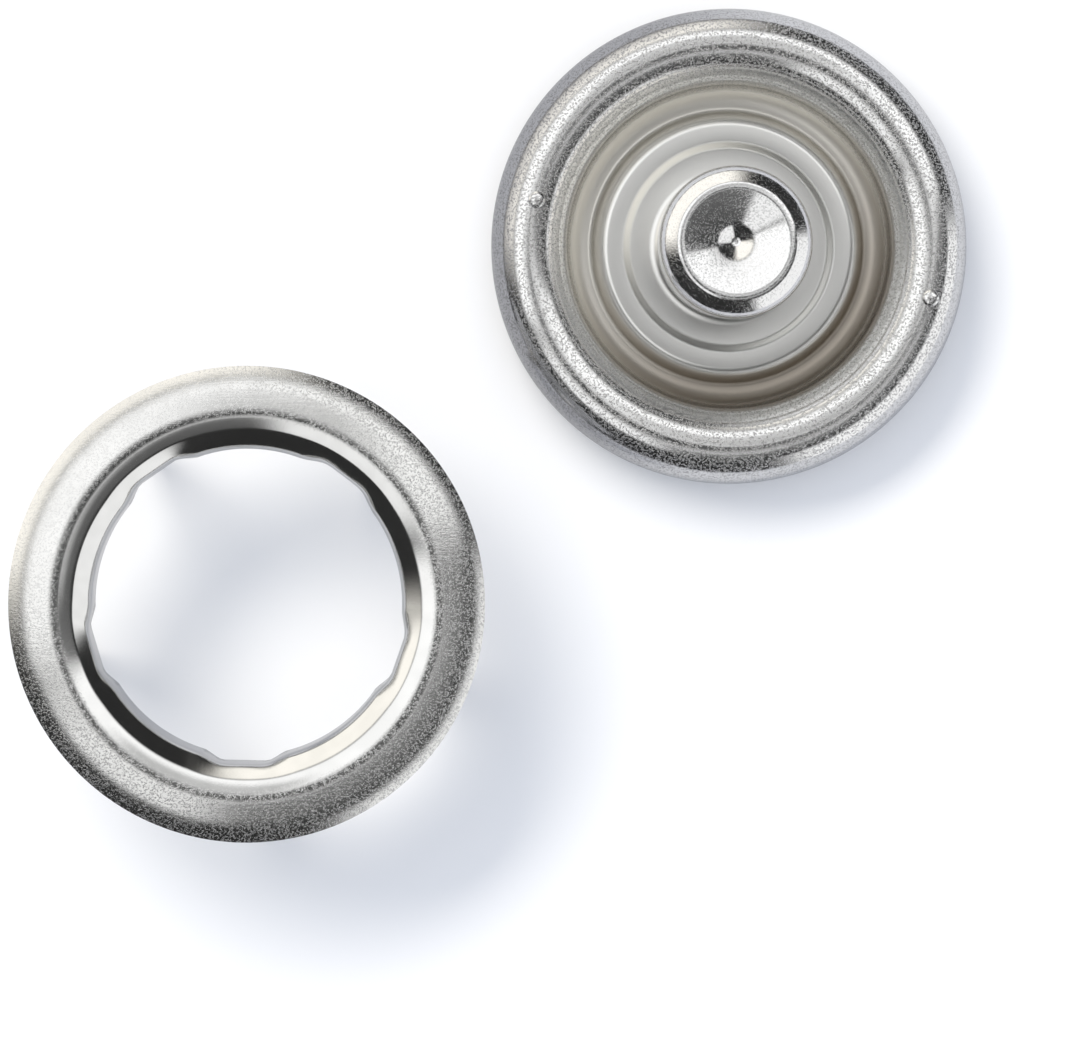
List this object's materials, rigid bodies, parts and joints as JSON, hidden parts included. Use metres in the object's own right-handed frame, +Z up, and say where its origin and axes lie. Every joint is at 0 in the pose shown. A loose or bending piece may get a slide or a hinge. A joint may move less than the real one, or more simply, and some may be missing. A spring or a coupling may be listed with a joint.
{
  "type": "snap fastener",
  "caption": "Open prong ring and rolled-rim stud that clench through light cloth to make the male side of a press snap fastener.",
  "frame": {"origin": "on the surface that both pieces lie on, under the middle of the outline of the two", "axes": "+Z up, along the axes of the ring and of the stud's post; +X and +Y as the picture's right and up"},
  "size_m": [0.02, 0.0174, 0.0034],
  "materials": {
    "satin_nickel": "nickel plated sheet brass, satin on the flange and bright in the throat",
    "bright_nickel": "nickel plated sheet brass, bright with a fine drawn grain"
  },
  "bodies": {
    "root": {"prong_ring": "satin_nickel", "stud": "bright_nickel"}
  },
  "joints": []
}
